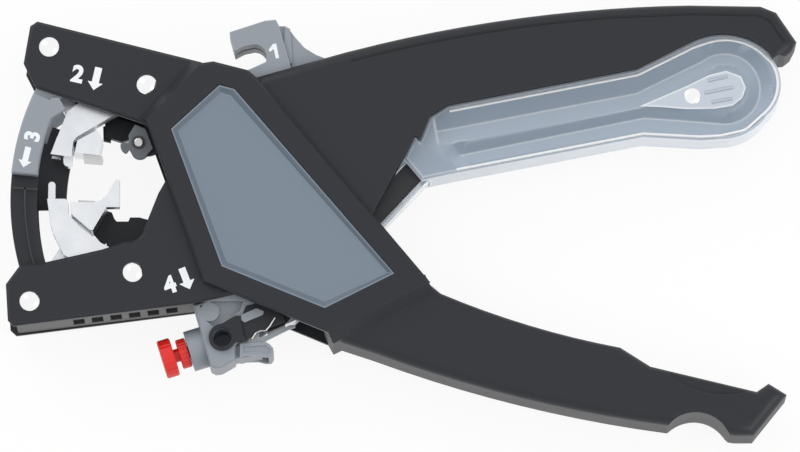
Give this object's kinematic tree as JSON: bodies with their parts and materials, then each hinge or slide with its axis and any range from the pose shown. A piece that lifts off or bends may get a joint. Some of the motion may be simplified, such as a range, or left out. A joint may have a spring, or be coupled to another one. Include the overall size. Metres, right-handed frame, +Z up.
{
  "type": "stripping and crimping pliers",
  "caption": "Hand pliers that cut, strip, twist and crimp wire ends, with a clear ferrule magazine in the upper handle.",
  "frame": {"origin": "where the axis of the main pivot meets the flat face that the tool lies on", "axes": "+X along the handles, +Y across the jaws towards the upper handle, +Z up from the resting face"},
  "size_m": [0.2109, 0.1161, 0.027],
  "materials": {
    "lever_a_front_shell": "moulded black, fine texture",
    "lever_a_rear_shell": "moulded black, fine texture",
    "front_inlay": "moulded grey",
    "rear_inlay": "moulded grey",
    "cutter_blade": "ground steel",
    "main_pivot_pin": "polished",
    "return_spring": "ground steel",
    "length_stop_screw": "polished",
    "upper_inner_rivet": "polished",
    "upper_outer_rivet": "polished",
    "twist_shoe_front": "moulded grey",
    "twist_shoe_rear": "moulded grey",
    "lever_b_front_shell": "moulded black, fine texture",
    "lever_b_rear_shell": "moulded black, fine texture",
    "lower_jaw_frame": "moulded dark grey",
    "cutter_hook": "moulded grey",
    "magazine_front": "clear frosted",
    "magazine_rear": "clear frosted",
    "magazine_pin": "polished",
    "chute_walls": "clear frosted",
    "chute_strip": "moulded dark grey",
    "crimp_frame": "moulded grey",
    "crimp_lever_pin": "polished",
    "crimp_anvil": "ground steel",
    "crimp_funnel": "moulded black, fine texture",
    "twist_track": "moulded black, fine texture",
    "lower_inner_rivet": "polished",
    "lower_outer_rivet": "polished",
    "upper_clamp_jaw": "satin nickel plate",
    "upper_blade_jaw": "satin nickel plate",
    "upper_blade": "ground steel",
    "lower_clamp_jaw": "satin nickel plate",
    "lower_blade_jaw": "satin nickel plate",
    "lower_blade": "ground steel",
    "length_stop": "moulded grey",
    "crimp_ram": "ground steel",
    "adjuster_knob": "moulded red",
    "crimp_lever": "moulded grey"
  },
  "bodies": {
    "lever_a": {"lever_a_front_shell": "lever_a_front_shell", "lever_a_rear_shell": "lever_a_rear_shell", "front_inlay": "front_inlay", "rear_inlay": "rear_inlay", "cutter_blade": "cutter_blade", "main_pivot_pin": "main_pivot_pin", "return_spring": "return_spring", "length_stop_screw": "length_stop_screw", "upper_inner_rivet": "upper_inner_rivet", "upper_outer_rivet": "upper_outer_rivet", "twist_shoe_front": "twist_shoe_front", "twist_shoe_rear": "twist_shoe_rear"},
    "lever_b": {"lever_b_front_shell": "lever_b_front_shell", "lever_b_rear_shell": "lever_b_rear_shell", "lower_jaw_frame": "lower_jaw_frame", "cutter_hook": "cutter_hook", "magazine_front": "magazine_front", "magazine_rear": "magazine_rear", "magazine_pin": "magazine_pin", "chute_walls": "chute_walls", "chute_strip": "chute_strip", "crimp_frame": "crimp_frame", "crimp_lever_pin": "crimp_lever_pin", "crimp_anvil": "crimp_anvil", "crimp_funnel": "crimp_funnel", "twist_track": "twist_track", "lower_inner_rivet": "lower_inner_rivet", "lower_outer_rivet": "lower_outer_rivet"},
    "upper_clamp": {"upper_clamp_jaw": "upper_clamp_jaw"},
    "upper_stripper": {"upper_blade_jaw": "upper_blade_jaw", "upper_blade": "upper_blade"},
    "lower_clamp": {"lower_clamp_jaw": "lower_clamp_jaw"},
    "lower_stripper": {"lower_blade_jaw": "lower_blade_jaw", "lower_blade": "lower_blade"},
    "length_stop": {"length_stop": "length_stop"},
    "crimp_ram": {"crimp_ram": "crimp_ram"},
    "adjuster_knob": {"adjuster_knob": "adjuster_knob"},
    "crimp_lever": {"crimp_lever": "crimp_lever"}
  },
  "joints": [
    {"name": "main_hinge", "type": "hinge", "parent": "lever_a", "child": "lever_b", "pos_m": [0, 0, 0.0135], "axis": [0, 0, -1], "range_deg": [0, 20], "stiffness_Nm_per_rad": 1.5, "springref_deg": -8.59, "deforming": ["return_spring"]},
    {"name": "upper_clamp_hinge", "type": "hinge", "parent": "lever_a", "child": "upper_clamp", "pos_m": [-0.0322, 0.0304, 0.0135], "axis": [0, 0, -1], "range_deg": [0, 12.1]},
    {"name": "upper_stripper_hinge", "type": "hinge", "parent": "lever_a", "child": "upper_stripper", "pos_m": [-0.0583, 0.0406, 0.0135], "axis": [0, 0, 1], "range_deg": [0, 12.88]},
    {"name": "lower_clamp_hinge", "type": "hinge", "parent": "lever_b", "child": "lower_clamp", "pos_m": [-0.0357, -0.0202, 0.0135], "axis": [0, 0, 1], "range_deg": [0, 14.42]},
    {"name": "lower_stripper_hinge", "type": "hinge", "parent": "lever_b", "child": "lower_stripper", "pos_m": [-0.0631, -0.028, 0.0135], "axis": [0, 0, -1], "range_deg": [0, 12.1]},
    {"name": "length_stop_hinge", "type": "hinge", "parent": "lever_a", "child": "length_stop", "pos_m": [-0.0343, 0.0151, 0.0135], "axis": [0, 0, 1], "range_deg": [0, 28]},
    {"name": "crimp_ram_slide", "type": "slide", "parent": "lever_b", "child": "crimp_ram", "axis": [0.9537, 0.3007, 0], "range_m": [0, 0.00155]},
    {"name": "adjuster_hinge", "type": "hinge", "parent": "lever_b", "child": "adjuster_knob", "pos_m": [-0.0119, -0.0373, 0.0135], "axis": [-0.9537, -0.3007, 0], "range_deg": [-150, 150]},
    {"name": "crimp_lever_hinge", "type": "hinge", "parent": "lever_b", "child": "crimp_lever", "pos_m": [-0.0013, -0.0404, 0.0135], "axis": [0, 0, 1], "range_deg": [0, 16], "stiffness_Nm_per_rad": 0.05}
  ],
  "couplings": [
    {"joint": "upper_clamp_hinge", "follows": "main_hinge", "ratio": 0.58},
    {"joint": "upper_stripper_hinge", "follows": "main_hinge", "ratio": 0.619},
    {"joint": "lower_clamp_hinge", "follows": "main_hinge", "ratio": 0.696},
    {"joint": "lower_stripper_hinge", "follows": "main_hinge", "ratio": 0.58},
    {"joint": "crimp_ram_slide", "follows": "main_hinge", "m_per_rad": 0.004297}
  ]
}
